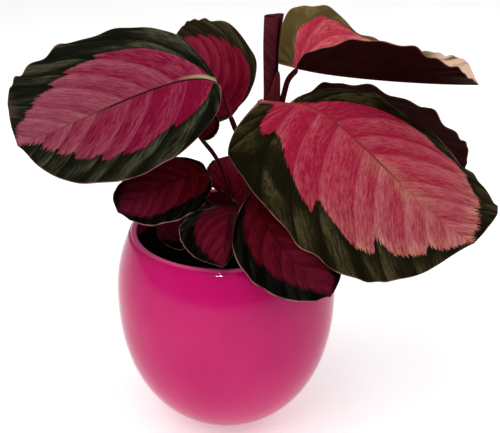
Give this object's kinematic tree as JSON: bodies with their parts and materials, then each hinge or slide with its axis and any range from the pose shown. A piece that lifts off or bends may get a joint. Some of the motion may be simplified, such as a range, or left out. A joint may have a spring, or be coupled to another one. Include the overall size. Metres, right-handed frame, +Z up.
{
  "type": "potted calathea",
  "caption": "Rosy calathea roseopicta in a round glazed pot: broad pink leaves with dark green margins and maroon undersides on slim stalks.",
  "frame": {"origin": "centre of the pot's flat foot, on the surface that it stands on", "axes": "+Z up along the pot's axis; -Y towards the side of the plant that the picture shows; +X to that viewer's right"},
  "size_m": [0.313, 0.1914, 0.3053],
  "materials": {
    "leaf_blade": "satin",
    "petiole": "satin",
    "rolled_leaf": "satin",
    "soil": "matte",
    "pot_glaze": "gloss"
  },
  "bodies": {
    "root": {"left_leaf_blade": "leaf_blade", "left_leaf_petiole": "petiole", "upper_left_leaf_blade": "leaf_blade", "upper_left_leaf_petiole": "petiole", "lower_left_leaf_blade": "leaf_blade", "lower_left_leaf_petiole": "petiole", "right_leaf_blade": "leaf_blade", "right_leaf_petiole": "petiole", "top_right_leaf_blade": "leaf_blade", "top_right_leaf_petiole": "petiole", "back_right_leaf_blade": "leaf_blade", "back_right_leaf_petiole": "petiole", "front_right_leaf_blade": "leaf_blade", "front_right_leaf_petiole": "petiole", "front_leaf_blade": "leaf_blade", "front_leaf_petiole": "petiole", "centre_leaf_blade": "leaf_blade", "centre_leaf_petiole": "petiole", "young_leaf_blade": "leaf_blade", "young_leaf_petiole": "petiole", "inner_leaf_blade": "leaf_blade", "inner_leaf_petiole": "petiole", "rolled_leaf": "rolled_leaf", "rolled_leaf_petiole": "petiole", "soil": "soil", "pot": "pot_glaze"}
  },
  "joints": []
}
